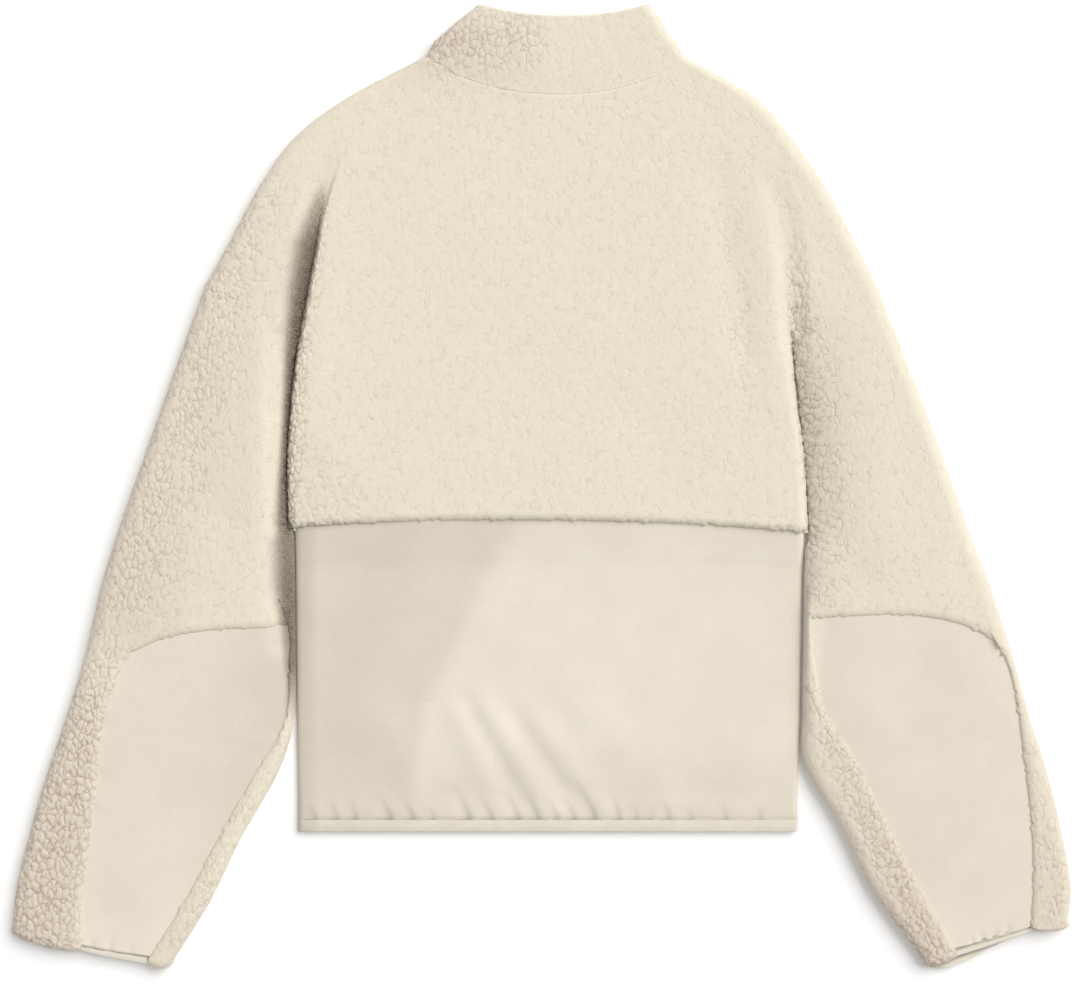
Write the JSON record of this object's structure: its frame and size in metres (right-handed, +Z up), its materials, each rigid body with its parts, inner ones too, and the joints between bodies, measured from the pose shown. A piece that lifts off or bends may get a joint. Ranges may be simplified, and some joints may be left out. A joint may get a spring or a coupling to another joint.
{
  "type": "sherpa fleece pullover",
  "caption": "Cropped sherpa fleece pullover with a woven lower body and forearm panels, a stand collar and bound hem and cuffs, laid flat with its back up.",
  "frame": {"origin": "middle of the garment's footprint, on the surface it lies on", "axes": "+X from the left sleeve to the right one as seen from above, +Y from the hem to the collar, +Z up from the surface to the garment's back"},
  "size_m": [0.821, 0.7464, 0.0186],
  "materials": {
    "sherpa_pile": "cream sherpa pile of small matt curls",
    "woven_shell": "smooth fine woven cloth with a faint sheen",
    "elastic_binding": "narrow elastic binding, matt"
  },
  "bodies": {
    "root": {"back_yoke": "sherpa_pile", "back_lower": "woven_shell", "front_upper": "sherpa_pile", "front_lower": "woven_shell", "collar": "sherpa_pile", "sleeve_left": "sherpa_pile", "sleeve_right": "sherpa_pile", "forearm_panel_left": "woven_shell", "forearm_panel_right": "woven_shell", "hem_binding": "elastic_binding", "cuff_binding_left": "elastic_binding", "cuff_binding_right": "elastic_binding"}
  },
  "joints": []
}
